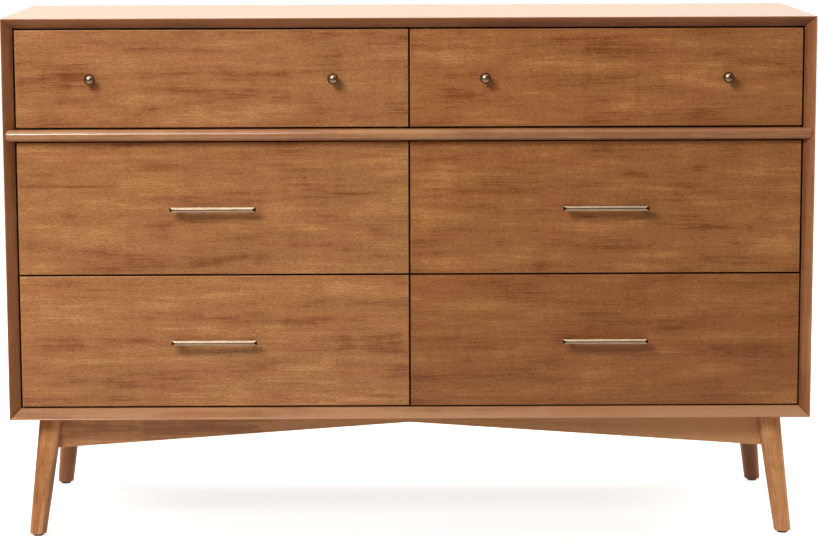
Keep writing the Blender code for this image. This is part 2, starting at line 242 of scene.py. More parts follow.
def weigh(tree, start, *parts):
    """Adds each part's distance from one half, times its weight, to a starting value."""
    for part, weight in parts:
        centred = maths(tree, "SUBTRACT", part, 0.5)
        start = maths(tree, "MULTIPLY_ADD", centred, weight, start)
    return start


def add_sockets(tree, way, kinds):
    """Gives a tree sockets, listed by kind, and returns their marks by name."""
    marks = {}
    for kind, labels in kinds.items():
        for label in labels:
            made = tree.interface.new_socket(name=label, in_out=way,
                                             socket_type="NodeSocket" + kind)
            marks[label] = made.identifier
    return marks


def new_group(name, inputs, outputs):
    """A shader group with its sockets, and what it is given."""
    tree = bpy.data.node_groups.new(name, "ShaderNodeTree")
    add_sockets(tree, "INPUT", inputs)
    add_sockets(tree, "OUTPUT", outputs)
    return tree, tree.nodes.new("NodeGroupInput").outputs


def use_group(tree, group, inputs):
    return put(tree, "ShaderNodeGroup", inputs, node_tree=group).outputs


# Shared effects of the finishes

def make_wood_grain():
    """Stained wood from a place given along, across and through the grain."""
    tree, given = new_group(
        "wood_grain",
        {"Vector": ["Place"], "Color": ["Pale", "Middle", "Deep"],
         "Float": ["Tone", "Marks", "Banding", "Streaking", "Pores", "Speckle", "Figure"]},
        {"Color": ["Color"], "Float": ["Gloss", "Height"]})
    still = given["Place"]

    # The fibres wander slowly and ripple a little
    place = drift(tree, still, still, (1.6, 8.0, 8.0), (0.0, 0.026, 0.026))
    place = drift(tree, place, still, (16.0, 55.0, 55.0), (0.0, 0.0032, 0.0032))

    bands = level(tree, noise(tree, place, (3.2, 34.0, 26.0), 4, 0.6), 0.3, 0.7)
    fibres = noise(tree, place, (9.0, 230.0, 170.0), 3, 0.62)
    threads = noise(tree, place, (26.0, 760.0, 760.0), 2)
    shimmer = noise(tree, still, (34.0, 12.0, 12.0), 3, 0.6)
    clouds = noise(tree, place, (6.5, 33.0, 26.0), 4, 0.55)
    fleck = noise(tree, still, (190.0, 500.0, 500.0), 2)
    streaks = level(tree, noise(tree, vectors(tree, "ADD", place, (3.1, 1.7, 0.4)),
                                (2.4, 70.0, 60.0), 5, 0.62), 0.58, 0.72)
    pores = level(tree, noise(tree, place, (110.0, 2300.0, 2300.0), 1), 0.6, 0.74)

    figure = weigh(tree, 0.0, (clouds, 1.65), (fibres, 0.95), (threads, 0.75), (shimmer, 0.6))
    tone = maths(tree, "ADD", given["Tone"], 0.5)
    tone = maths(tree, "MULTIPLY_ADD", figure, given["Figure"], tone)
    tone = weigh(tree, tone, (bands, given["Banding"]))
    wood = blend(tree, level(tree, tone, -0.1, 0.5), given["Deep"], given["Middle"])
    wood = blend(tree, level(tree, tone, 0.5, 1.1), wood, given["Pale"])
    hue = level(tree, noise(tree, vectors(tree, "ADD", place, (1.3, 4.1, 2.2)),
                            (6.0, 21.0, 18.0), 3), 0.35, 0.65)
    wood = blend(tree, 1.0, wood, blend(tree, hue, GOLDEN_TINT, ROSY_TINT), "MULTIPLY")
    speckled = weigh(tree, 1.0, (fleck, given["Speckle"]))
    wood = blend(tree, 1.0, wood, speckled, "MULTIPLY")

    # Streaks and marks are uneven along their length, as their fibres are
    dark = times(tree, streaks, given["Streaking"])
    marks = times(tree, given["Marks"], level(tree, fibres, 0.15, 0.6, 0.45, 1.0))
    dark = maths(tree, "MAXIMUM", dark, marks, clamp=True)
    wood = blend(tree, dark, wood, blend(tree, 1.0, wood, STREAK_TINT, "MULTIPLY"))
    wood = blend(tree, times(tree, marks, -1.0, clamp=True), wood, given["Pale"])
    pore_depth = times(tree, pores, given["Pores"], clamp=True)
    wood = blend(tree, pore_depth, wood, blend(tree, 1.0, wood, PORE_TINT, "MULTIPLY"))

    gloss = weigh(tree, 0.0, (fibres, 0.10), (shimmer, 0.06))
    gloss = maths(tree, "MULTIPLY_ADD", pore_depth, 0.15, gloss)
    height = maths(tree, "MULTIPLY_ADD", fibres, 0.35, times(tree, threads, 0.25))
    height = maths(tree, "SUBTRACT", height, times(tree, pore_depth, 0.6))
    put(tree, "NodeGroupOutput", {"Color": wood, "Gloss": gloss, "Height": height})
    return tree


def make_grain_mark():
    """One mark of the figure, added to a running sum: above zero dark, below golden."""
    tree, given = new_group(
        "grain_mark",
        {"Float": ["Sum", "Strength"], "Vector": ["Place", "Centre", "Spread"]},
        {"Float": ["Sum"]})
    place = drift(tree, given["Place"], given["Place"], (13.0, 30.0, 30.0),
                  (0.02, 0.008, 0.0), 3)
    offset = vectors(tree, "SUBTRACT", place, given["Centre"])
    distance = vectors(tree, "LENGTH", vectors(tree, "MULTIPLY", offset, given["Spread"]))
    mask = level(tree, distance, 1.3, 0.1)
    total = maths(tree, "MULTIPLY_ADD", mask, given["Strength"], given["Sum"])
    put(tree, "NodeGroupOutput", {"Sum": total})
    return tree


def make_edge_wear():
    """Handled edges: a little paler and smoother, in patches."""
    tree, given = new_group(
        "edge_wear",
        {"Color": ["Color", "Rubbed"], "Float": ["Gloss", "Eased", "Amount"],
         "Vector": ["Place"]},
        {"Color": ["Color"], "Float": ["Gloss"]})
    patches = level(tree, noise(tree, given["Place"], (9.0, 60.0, 60.0), 4, 0.6), 0.25, 0.65)
    worn = times(tree, given["Eased"], patches)
    worn = times(tree, worn, given["Amount"], clamp=True)
    put(tree, "NodeGroupOutput", {
        "Color": blend(tree, worn, given["Color"], given["Rubbed"]),
        "Gloss": maths(tree, "MULTIPLY_ADD", worn, -0.08, given["Gloss"])})
    return tree


WOOD_GRAIN = make_wood_grain()
GRAIN_MARK = make_grain_mark()
EDGE_WEAR = make_edge_wear()


# Finishes

def empty_tree(owner):
    """The node tree of a material or a world, cleared."""
    owner.use_nodes = True
    owner.node_tree.nodes.clear()
    return owner.node_tree


def new_material(name):
    """A material with its tree and its shader, which has plain inputs."""
    material = bpy.data.materials.new(name)
    tree = empty_tree(material)
    shader = tree.nodes.new("ShaderNodeBsdfPrincipled")
    put(tree, "ShaderNodeOutputMaterial", {"Surface": shader.outputs[0]})
    return material, tree, shader


def attribute(tree, name, output):
    return put(tree, "ShaderNodeAttribute", attribute_name=name).outputs[output]


def wood_finish(name, stain, banding=0.5, streaking=0.35, pores=0.5, speckle=0.25, figure=1.0,
                gloss=0.42, coat=0.6, haze=0.18, marks=(), turn=None):
    """A stained and lacquered wood. Pieces carry their own grain unless turn lays it by place."""
    material, tree, shader = new_material(name)
    pale, middle, deep = (colour(*values) for values in stain)
    if turn is None:
        place = attribute(tree, "grain", "Vector")
        tone, eased, gap_shade = (attribute(tree, value, "Fac") for value in ("tone", "eased", "gap_shade"))
    else:
        spot = put(tree, "ShaderNodeTexCoord").outputs["Object"]
        place = put(tree, "ShaderNodeMapping", {"Vector": spot, "Rotation": turn}).outputs[0]
        # Painted shade: boards laid out by turn darken towards their front edge, behind the gaps
        # between the drawers
        gap_shade = level(tree, parts_of(tree, spot)["Y"], GAP_SHADE_START_Y + GAP_SHADE_FADE, GAP_SHADE_START_Y)
        tone = 0.0
        eased = 0.0
    total = 0.0
    for along, across, half_length, half_height, strength in marks:
        total = use_group(tree, GRAIN_MARK, {
            "Sum": total, "Place": place, "Centre": (along, across, 0.0),
            "Spread": (1 / half_length, 1 / half_height, 0.0), "Strength": strength})["Sum"]
    wood = use_group(tree, WOOD_GRAIN, {
        "Place": place, "Tone": tone, "Marks": total, "Pale": pale, "Middle": middle,
        "Deep": deep, "Banding": banding, "Streaking": streaking, "Pores": pores,
        "Speckle": speckle, "Figure": figure})
    worn = use_group(tree, EDGE_WEAR, {
        "Color": wood["Color"], "Gloss": wood["Gloss"], "Eased": eased, "Place": place,
        "Rubbed": pale, "Amount": 0.5})
    # Painted shade: faces in the gaps are multiplied dark and lose their coat
    gap_shaded = blend(tree, 1.0, worn["Color"], PAINTED_GAP_SHADE, "MULTIPLY")
    fill(tree, shader, {
        "Base Color": blend(tree, gap_shade, worn["Color"], gap_shaded),
        "Roughness": maths(tree, "ADD", worn["Gloss"], gloss),
        "Normal": bump(tree, wood["Height"], 0.25, 0.4 * MM),
        "Coat Weight": maths(tree, "MULTIPLY_ADD", gap_shade, -coat, coat),
        "Coat Roughness": haze, "Specular IOR Level": 0.0, "IOR": 1.5})
    return material


def metal_finish(name, bright, dull, dark, edge, roughness):
    """Antique metal, brushed along the piece, darkened where the piece says so: patinated hollows,
    and painted dark reflection.
    """
    material, tree, shader = new_material(name)
    place = attribute(tree, "grain", "Vector")
    patina_and_painted_reflection = attribute(tree, "patina_and_painted_reflection", "Fac")
    cloud = level(tree, noise(tree, place, (60.0, 220.0, 220.0), 3, 0.6), 0.3, 0.7)
    brush = noise(tree, place, (14.0, 2400.0, 2400.0), 2)
    face = blend(tree, cloud, dull, bright)
    face = blend(tree, times(tree, brush, 0.2), face, dull)
    rough = weigh(tree, roughness, (brush, 0.10), (cloud, -0.05))
    fill(tree, shader, {
        "Base Color": blend(tree, patina_and_painted_reflection, face, dark),
        "Roughness": maths(tree, "MULTIPLY_ADD", patina_and_painted_reflection, 0.15, rough),
        "Normal": bump(tree, brush, 0.03, 0.1 * MM), "Metallic": 1.0, "Specular Tint": edge})
    return material


def moulded_finish(name, main, scuffed, roughness):
    """Plain moulded plastic with fine scuffs."""
    material, tree, shader = new_material(name)
    place = put(tree, "ShaderNodeTexCoord").outputs["Object"]
    cloud = level(tree, noise(tree, place, (150.0, 150.0, 150.0), 3, 0.6), 0.35, 0.7)
    grit = noise(tree, place, (1800.0, 1800.0, 1800.0), 2)
    fill(tree, shader, {
        "Base Color": blend(tree, cloud, main, scuffed),
        "Roughness": weigh(tree, roughness, (grit, 0.2), (cloud, 0.1)),
        "Normal": bump(tree, grit, 0.2, 0.2 * MM)})
    return material


# Each front's own figure, in millimetres: place along and up, half length and height; then the
# strength, above zero for a dark mark and below for a golden one
FRONT_MARKS = {
    "top_left": (
        (-587, 824, 30, 2.8, 0.6), (-664, 847, 25, 2, 0.4), (-241, 865, 30, 8, 0.4),
        (-30, 875, 28, 4.4, 0.45), (-389, 894, 30, 6, 0.4), (-565, 779, 42, 5.3, 0.35)),
    "top_right": (
        (107, 867, 70, 3.5, 0.4), (403, 872, 105, 3, 0.45), (264, 811, 53, 3.5, 0.3),
        (509, 845, 88, 3.5, 0.35)),
    "middle_left": (
        (-434, 661, 50, 8.5, 0.6), (-583, 627, 90, 3, 0.95), (-649, 646, 35, 3.5, 0.5),
        (-98, 612, 55, 4, 0.85), (-182, 629, 44, 3, 0.6), (-294, 674, 38, 3.8, 0.4),
        (-307, 614, 25, 2.8, 0.6), (-167, 559, 18, 2.6, 0.5), (-59, 548, 12, 6, 0.5),
        (-262, 497, 14, 15, 0.3)),
    "middle_right": (
        (66, 659, 28, 4.5, -0.8), (71, 573, 55, 4.5, -0.7), (149, 502, 35, 3.5, -0.6),
        (43, 619, 35, 3, 0.6), (152, 614, 85, 5.5, 0.5), (318, 569, 16, 2.6, 0.85),
        (462, 627, 60, 4, 0.5), (529, 613, 40, 5.5, 0.4), (601, 549, 8, 8.8, 0.45),
        (573, 522, 16, 3, 0.75)),
    "bottom_left": (
        (-206, 274, 40, 2.8, 0.6), (-512, 246, 40, 3, 0.5), (-238, 251, 25, 2.8, 0.5),
        (-135, 259, 28, 2.6, 0.5), (-43, 250, 40, 3.8, 0.6), (-85, 351, 85, 2.6, 0.5)),
    "bottom_right": (
        (342, 389, 85, 5, -0.35), (121, 336, 110, 5, 0.45), (515, 339, 90, 3, 0.35)),
}

# Each wood's stain in screen values from 0 to 255: pale, middle and deep
FRONT_STAINS = {
    "top_left": ((198, 143, 92), (174, 117, 74), (136, 80, 47)),
    "top_right": ((196, 138, 85), (169, 110, 65), (136, 80, 44)),
    "middle_left": ((198, 143, 87), (174, 117, 73), (139, 82, 47)),
    "middle_right": ((191, 134, 79), (165, 107, 62), (129, 73, 39)),
    "bottom_left": ((206, 149, 94), (179, 120, 73), (144, 86, 50)),
    "bottom_right": ((182, 123, 70), (159, 100, 55), (131, 74, 38)),
}

CASE_STAIN = ((190, 136, 92), (158, 104, 67), (122, 74, 46))
LEG_STAIN = ((222, 161, 106), (188, 126, 77), (150, 92, 53))
BOX_STAIN = ((228, 200, 158), (212, 178, 132), (186, 148, 104))
PANEL_STAIN = ((214, 178, 132), (196, 156, 110), (168, 126, 84))
PLY_STAIN = ((176, 124, 84), (152, 100, 64), (122, 76, 48))
PIN_STAIN = ((184, 146, 102), (160, 120, 78), (126, 90, 56))

STAINED_CASE = wood_finish("stained_case", CASE_STAIN, banding=0.25, streaking=0.25,
                           speckle=0.2, figure=0.6)
STAINED_TOP = wood_finish("stained_top", CASE_STAIN, banding=0.25, streaking=0.12,
                          speckle=0.2, figure=0.5, coat=1.0, haze=0.13)
STAINED_LEG = wood_finish("stained_leg", LEG_STAIN, banding=0.6, figure=1.2)
BOX_WOOD = wood_finish("drawer_box_wood", BOX_STAIN, banding=0.3, streaking=0.1, pores=0.3,
                       figure=0.45, gloss=0.5, coat=0.05)
PANEL_ALONG_WIDTH, PANEL_ALONG_DEPTH = (
    wood_finish("panel_wood_along_" + way, PANEL_STAIN, banding=0.4, streaking=0.12, pores=0.3,
                figure=0.6, gloss=0.52, coat=0.05, turn=(0.0, 0.0, turn))
    for way, turn in (("width", 0.0), ("depth", math.pi / 2)))
BACK_PLY = wood_finish("back_panel_ply", PLY_STAIN, banding=0.3, streaking=0.15, figure=0.7,
                       gloss=0.55, coat=0.3, haze=0.4)
PIN_WOOD = wood_finish("end_grain", PIN_STAIN, banding=0.6, streaking=0.3, pores=0.8,
                       gloss=0.55, coat=0.05)
BRONZE = metal_finish("aged_bronze", (0.53, 0.39, 0.26, 1.0), (0.41, 0.285, 0.19, 1.0),
                      (0.07, 0.026, 0.010, 1.0), (0.35, 0.20, 0.12, 1.0), 0.23)
GLIDE_NYLON = moulded_finish("glide_nylon", colour(74, 50, 38), colour(92, 66, 50), 0.5)


# Helpers for pieces

PIECES = bpy.data.collections.new("dressed_pieces")
bpy.context.scene.collection.children.link(PIECES)
GRAIN_ORDERS = {"width": (0, 2, 1), "width_flat": (0, 1, 2), "height": (2, 1, 0),
                "depth": (1, 2, 0)}


def body_of(node):
    return NODES[node]["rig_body"]


def middle_of(node):
    low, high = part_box(node)
    return (low + high) / 2


def new_object(name, data):
    """An object in the scene."""
    made = bpy.data.objects.new(name, data)
    bpy.context.scene.collection.objects.link(made)
    return made


def whole_shape(node):
    """A copy of a CAD node's shape with its triangles joined and its flat faces made whole."""
    shape = bmesh.new()
    shape.from_mesh(NODES[node].data)
    bmesh.ops.remove_doubles(shape, verts=shape.verts, dist=JOIN_DISTANCE)
    bmesh.ops.dissolve_limit(shape, angle_limit=FLAT_ANGLE, verts=shape.verts,
                             edges=shape.edges)
    return shape


def ease(shape, width, segments=3, chosen=None):
    """Rounds the sharp edges and remembers the new faces as eased."""
    layer = shape.faces.layers.float.get("eased") or shape.faces.layers.float.new("eased")
    sharp = [edge for edge in shape.edges
             if edge.is_manifold and edge.calc_face_angle() > EDGE_ANGLE
             and (chosen is None or chosen(edge))]
    made = bmesh.ops.bevel(shape, geom=sharp, offset=width, offset_type="OFFSET",
                           segments=segments, profile=0.5, affect="EDGES",
                           clamp_overlap=True)
    for face in made["faces"]:
        face[layer] = 1.0


def paint_gap_shade(shape):
    """Remembers the narrow faces around a drawer front, where the shade in the gaps is painted dark.
    """
    shape.normal_update()
    layer = shape.faces.layers.float.new("gap_shade")
    for face in shape.faces:
        face[layer] = float(abs(face.normal.y) < 0.3)


def add_values(mesh, name, kind, domain, values):
    made = mesh.attributes.new(name, kind, domain)
    made.data.foreach_set("vector" if kind == "FLOAT_VECTOR" else "value",
                          np.asarray(values, np.float32).ravel())


def points_of(mesh):
    spots = np.empty(len(mesh.vertices) * 3)
    mesh.vertices.foreach_get("co", spots)
    return spots.reshape(-1, 3)


def lay_grain(mesh, grain, shift, tone):
    """Gives a mesh its place in the wood and its tone; both can be functions of its points."""
    spots = points_of(mesh)
    laid = grain(spots) if callable(grain) else spots[:, GRAIN_ORDERS[grain]]
    add_values(mesh, "grain", "FLOAT_VECTOR", "POINT", laid + np.asarray(shift))
    tones = tone(spots) if callable(tone) else np.full(len(spots), tone)
    add_values(mesh, "tone", "FLOAT", "POINT", tones)


def finish_piece(name, mesh, finish, stands_for=(), body=None, grain="width",
                 shift=(0.0, 0.0, 0.0), tone=0.0):
    """Turns a mesh into a piece with its finish, riding on its body."""
    piece = bpy.data.objects.new(name, mesh)
    PIECES.objects.link(piece)
    mesh.materials.clear()
    mesh.materials.append(finish)
    lay_grain(mesh, grain, shift, tone)
    mesh.shade_smooth()
    mesh.set_sharp_from_angle(angle=SMOOTH_ANGLE)
    even = piece.modifiers.new("even_shading", "WEIGHTED_NORMAL")
    even.keep_sharp = True
    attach(piece, body or body_of(stands_for[0]))
    if stands_for:
        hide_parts(*stands_for)


def paint_patina_and_reflection(mesh, chosen):
    """Says how dark each face is, from 0 to 1: patinated places, and on knobs and pulls also painted
    dark reflection.
    """
    values = [float(chosen(face)) for face in mesh.polygons]
    add_values(mesh, "patina_and_painted_reflection", "FLOAT", "FACE", values)


def slope(axis, low, high, low_tone, high_tone):
    """A tone that changes evenly along an axis."""
    return lambda spots: np.interp(spots[:, axis], (low, high), (low_tone, high_tone))


def mesh_of(name, shape):
    mesh = bpy.data.meshes.new(name)
    shape.to_mesh(mesh)
    shape.free()
    return mesh


def lathe(outline, centre, axis):
    """A closed round shape from (radius, distance) pairs that start and end on the axis."""
    shape = bmesh.new()
    turn = Vector((0, 0, 1)).rotation_difference(Vector(axis)).to_matrix()
    rings = []
    for radius, distance in outline:
        angles = np.linspace(0, math.tau, LATHE_SIDES if radius else 1, endpoint=False)
        rings.append([shape.verts.new((radius * math.cos(a), radius * math.sin(a), distance))
                      for a in angles])
    for low, high in zip(rings, rings[1:]):
        for i in range(LATHE_SIDES):
            j = (i + 1) % LATHE_SIDES
            corners = [low[i % len(low)], low[j % len(low)], high[j % len(high)],
                       high[i % len(high)]]
            shape.faces.new(list(dict.fromkeys(corners)))
    bmesh.ops.transform(shape, matrix=Matrix.Translation(centre) @ turn.to_4x4(),
                        verts=shape.verts)
    bmesh.ops.recalc_face_normals(shape, faces=shape.faces)
    return shape


def arc(centre, radius, start, end, steps):
    """Points (radius from the axis, distance along it) on part of a circle, angles in degrees."""
    angles = np.radians(np.linspace(start, end, steps))
    return [(centre[0] + radius * math.cos(a), centre[1] + radius * math.sin(a)) for a in angles]


def new_shape_tree(name, inputs):
    """A geometry nodes tree, the marks of its sockets by name, and what it is given."""
    tree = bpy.data.node_groups.new(name, "GeometryNodeTree")
    marks = add_sockets(tree, "INPUT", {"Geometry": ["Geometry"], **inputs,
                                        "Material": ["Finish"]})
    add_sockets(tree, "OUTPUT", {"Geometry": ["Geometry"]})
    return tree, marks, tree.nodes.new("NodeGroupInput").outputs


def place_parts(tree):
    """The parts of the place of each point that a shape tree works on."""
    return parts_of(tree, tree.nodes.new("GeometryNodeInputPosition").outputs[0])


def moved(tree, solid, offset):
    return put(tree, "GeometryNodeSetPosition", {"Geometry": solid, "Offset": offset}).outputs[0]


def swept(tree, line, sides, radius):
    """A round closed solid along a line, as thick as the radius says at each point of it."""
    ring = put(tree, "GeometryNodeCurvePrimitiveCircle", {"Resolution": sides, "Radius": 1.0})
    return put(tree, "GeometryNodeCurveToMesh",
               {"Curve": line, "Profile Curve": ring.outputs["Curve"], "Scale": radius,
                "Fill Caps": True}).outputs[0]


def block(tree, *size):
    return put(tree, "GeometryNodeMeshCube",
               {"Size": vector_of(tree, **dict(zip("XYZ", size)))}).outputs["Mesh"]


def set_on_points(tree, given, solid):
    """Copies of a solid, one on each point that the tree is given, turned to face its way."""
    return put(tree, "GeometryNodeInstanceOnPoints",
               {"Points": given["Geometry"], "Instance": solid,
                "Rotation": given["Facing"]}).outputs[0]


def end_shape_tree(tree, given, solid):
    """Makes what the tree has built into real faces of the finish."""
    solid = put(tree, "GeometryNodeRealizeInstances", {"Geometry": solid}).outputs[0]
    solid = put(tree, "GeometryNodeSetMaterial",
                {"Geometry": solid, "Material": given["Finish"]}).outputs[0]
    put(tree, "NodeGroupOutput", {"Geometry": solid})


def seeds(name, spots, joined=False):
    """A mesh of bare points, joined in a line if asked, for a shape tree to start from."""
    mesh = bpy.data.meshes.new(name)
    lines = [(i, i + 1) for i in range(len(spots) - 1)] if joined else []
    mesh.from_pydata(spots, lines, [])
    return mesh


def grown(name, seed_mesh, shape_tree, values):
    """The plain mesh that a geometry nodes tree makes from a mesh and its named values."""
    tree, marks = shape_tree
    carrier = new_object(name + "_carrier", seed_mesh)
    step = carrier.modifiers.new("grow", "NODES")
    step.node_group = tree
    for label, value in values.items():
        step[marks[label]] = value
    ready = carrier.evaluated_get(bpy.context.evaluated_depsgraph_get())
    mesh = bpy.data.meshes.new_from_object(ready)
    mesh.name = name
    bpy.data.objects.remove(carrier)
    return mesh


# Small repeated pieces

def screw_tree():
    """Nodes that set a domed screw head with a crossed recess on each point."""
    tree, marks, given = new_shape_tree("screw_heads", {
        "Float": ["Radius", "Height", "Slot"], "Int": ["Sides", "Seed"], "Vector": ["Facing"]})
    tip = vector_of(tree, Z=given["Height"])
    line = put(tree, "GeometryNodeCurvePrimitiveLine", {"End": tip}).outputs[0]
    line = put(tree, "GeometryNodeResampleCurve", {"Curve": line, "Count": 6}).outputs[0]
    share = maths(tree, "DIVIDE", place_parts(tree)["Z"], given["Height"])
    share = times(tree, share, 0.94)
    dome = maths(tree, "SQRT", maths(tree, "SUBTRACT", 1.0, maths(tree, "POWER", share, 2.0)))
    head = swept(tree, line, given["Sides"], times(tree, dome, given["Radius"]))
    narrow = times(tree, given["Slot"], 0.26)
    recess = put(tree, "GeometryNodeMeshBoolean", {"Mesh 1": head}, operation="DIFFERENCE")
    for wide, deep in ((given["Slot"], narrow), (narrow, given["Slot"])):
        bar = moved(tree, block(tree, wide, deep, given["Height"]), tip)
        feed(tree, recess.inputs["Mesh 2"], bar)
    heads = set_on_points(tree, given, recess.outputs["Mesh"])
    chance = put(tree, "FunctionNodeRandomValue", {"Seed": given["Seed"]}, data_type="FLOAT")
    turn = vector_of(tree, Z=times(tree, chance.outputs[1], 1.5))
    heads = put(tree, "GeometryNodeRotateInstances",
                {"Instances": heads, "Rotation": turn, "Local Space": True}).outputs[0]
    end_shape_tree(tree, given, heads)
    return tree, marks


def block_tree():
    """Nodes that set a block on each point, wider at one end if asked."""
    tree, marks, given = new_shape_tree("blocks", {
        "Float": ["Length", "Width", "Far Width", "Thickness"], "Vector": ["Facing"]})
    shape = block(tree, given["Length"], given["Width"], given["Thickness"])
    parts = place_parts(tree)
    spread = maths(tree, "DIVIDE", given["Far Width"], given["Width"])
    spread = times(tree, parts["Y"], maths(tree, "SUBTRACT", spread, 1.0))
    far = maths(tree, "GREATER_THAN", parts["X"], 0.0)
    shape = moved(tree, shape, vector_of(tree, Y=times(tree, spread, far)))
    end_shape_tree(tree, given, set_on_points(tree, given, shape))
    return tree, marks


SCREW_TREE = screw_tree()
BLOCK_TREE = block_tree()
TO_REAR = (-math.pi / 2, 0.0, 0.0)


def set_screws(name, spots, body, radius, seed):
    """Screw heads that face the rear, one on each spot."""
    mesh = grown(name, seeds(name, spots), SCREW_TREE, {
        "Radius": radius, "Height": radius * 0.5, "Slot": radius * 1.1, "Sides": SCREW_SIDES,
        "Facing": TO_REAR, "Seed": seed, "Finish": BRONZE})
    paint_patina_and_reflection(mesh, lambda face: SCREW_PATINA)
    finish_piece(name, mesh, BRONZE, body=body)


# The case

CASE_TOP_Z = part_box("top_panel")[1].z
CASE_BOTTOM_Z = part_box("bottom_panel")[0].z
CASE_FRONT_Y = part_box("top_panel")[0].y
HALF_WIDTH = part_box("side_panel_right")[1].x


def on_mitre(edge):
    """Whether an edge lies in the slanting plane where two case boards meet."""
    for vert in edge.verts:
        in_from_side = HALF_WIDTH - abs(vert.co.x)
        in_from_end = min(CASE_TOP_Z - vert.co.z, vert.co.z - CASE_BOTTOM_Z)
        if abs(in_from_side - in_from_end) > TOUCH_DISTANCE:
            return False
    return True


# Each case board: piece, grain, shift in the wood, then tones at the low and high end and at the
# outer and inner side of the sloping front edge. Across that edge the tones are painted shade,
# darker towards the gap around the drawers; the bottom board's paler tones are partly painted light
# on its upward sloping edge.
CASE_BOARDS = {
    "top_panel": ("case_top", "width_flat", (0.3, 0.0, 0.0), (0.05, -0.2, 0.2, -0.45)),
    "bottom_panel": ("case_bottom", "width_flat", (2.1, 0.7, 0.3), (0.4, 0.6, 0.0, -0.1)),
    "side_panel_left": ("case_side_left", "height", (4.2, 1.3, 0.2), (0.0, -0.25, 0.15, -0.2)),
    "side_panel_right": ("case_side_right", "height", (6.4, 2.2, 0.9),
                         (-0.05, -0.05, 0.3, -0.55)),
}


def case_tone(along, outer, inner):
    """A tone that changes along a case board, and across its sloping front edge as painted shade
    that darkens towards the gap.
    """
    places = [CASE_FRONT_Y + SLOPING_EDGE * step for step in range(3)]
    return lambda spots: along(spots) + np.interp(spots[:, 1], places, (outer, inner, 0.0))


def dress_case():
    """The four mitred boards, edges eased and mitres shown by a fine line."""
    for node, (name, grain, shift, (low_tone, high_tone, outer, inner)) in CASE_BOARDS.items():
        shape = whole_shape(node)
        ease(shape, CASE_EASE, 3, lambda edge: not on_mitre(edge))
        ease(shape, MITRE_EASE, 1, on_mitre)
        if grain == "height":
            finish, reach = STAINED_CASE, (2, CASE_BOTTOM_Z, CASE_TOP_Z)
        else:
            finish, reach = STAINED_TOP, (0, -HALF_WIDTH, HALF_WIDTH)
        finish_piece(name, mesh_of(name, shape), finish, [node], grain=grain,
                     shift=shift, tone=case_tone(slope(*reach, low_tone, high_tone), outer, inner))


def dress_rail():
    """The round-nosed rail, let into the sides, its ends rounded over on their sloping edges."""
    low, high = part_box("middle_rail")
    half = high.x - RAIL_END_GAP
    radius = (high.z - low.z) / 2
    middle_z = (high.z + low.z) / 2
    angles = np.linspace(-math.pi / 2, math.pi / 2, RAIL_NOSE_STEPS)
    turns = np.linspace(0, math.pi / 2, RAIL_END_STEPS)
    steps = [(RAIL_END_ROUND * (1 - math.sin(t)), RAIL_END_ROUND * (1 - math.cos(t)))
             for t in turns]

    def outline(inset):
        points = [(high.y - inset, middle_z - radius + inset)]
        points += [(low.y + radius - (radius - inset) * math.cos(a),
                    middle_z + (radius - inset) * math.sin(a)) for a in angles]
        return points + [(high.y - inset, middle_z + radius - inset)]

    shape = bmesh.new()
    rings = []
    for side, places in ((-1, steps), (1, reversed(steps))):
        for inset, short in places:
            rings.append([shape.verts.new((side * (half - short), y, z))
                          for y, z in outline(inset)])
    count = len(rings[0])
    for first, second in zip(rings, rings[1:]):
        for i in range(count):
            j = (i + 1) % count
            shape.faces.new((first[i], first[j], second[j], second[i]))
    shape.faces.new(rings[0])
    shape.faces.new(reversed(rings[-1]))
    bmesh.ops.recalc_face_normals(shape, faces=shape.faces)
    finish_piece("nosed_rail", mesh_of("nosed_rail", shape), STAINED_TOP,
                 ["middle_rail"], grain="width_flat", shift=(8.1, 0.4, 0.6),
                 tone=slope(0, -HALF_WIDTH, HALF_WIDTH, 0.4, 0.1))


def dress_back():
    """The back panel, set in a little, its screws along its edges and down its middle."""
    shape = whole_shape("back_panel")
    outer_y = max(vert.co.y for vert in shape.verts)
    for vert in shape.verts:
        if vert.co.y > outer_y - TOUCH_DISTANCE:
            vert.co.y -= BACK_INSET
    ease(shape, BACK_EASE, 1)
    finish_piece("back_ply", mesh_of("back_ply", shape), BACK_PLY,
                 ["back_panel"], shift=(1.7, 2.9, 0.0))
    low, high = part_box("back_panel")
    y = outer_y - BACK_INSET - SCREW_SUNK
    rows = [(x, y, z) for z in (low.z + EDGE_TO_SCREW, high.z - EDGE_TO_SCREW)
            for x in np.linspace(low.x + EDGE_TO_SCREW, high.x - EDGE_TO_SCREW,
                                 BACK_SCREWS_ACROSS)]
    rows += [(x, y, z) for x in (low.x + EDGE_TO_SCREW, 0.0, high.x - EDGE_TO_SCREW)
             for z in np.linspace(low.z, high.z, BACK_SCREW_ROWS)[1:-1]]
    set_screws("back_screws", rows, body_of("back_panel"), BACK_SCREW_RADIUS, 3)


def dress_inner_frame():
    """The boards between the drawers, with the grain that each would have."""
    for node in ("middle_shelf", "dust_panel_left", "dust_panel_right"):
        dress_node(node, PANEL_ALONG_WIDTH)
    for node in ("divider_upper", "divider_lower"):
        dress_node(node, PANEL_ALONG_DEPTH)


def dress_node(node, finish):
    """A new finish on a CAD node that keeps its shape."""
    mesh = NODES[node].data
    mesh.materials.clear()
    mesh.materials.append(finish)


# The base

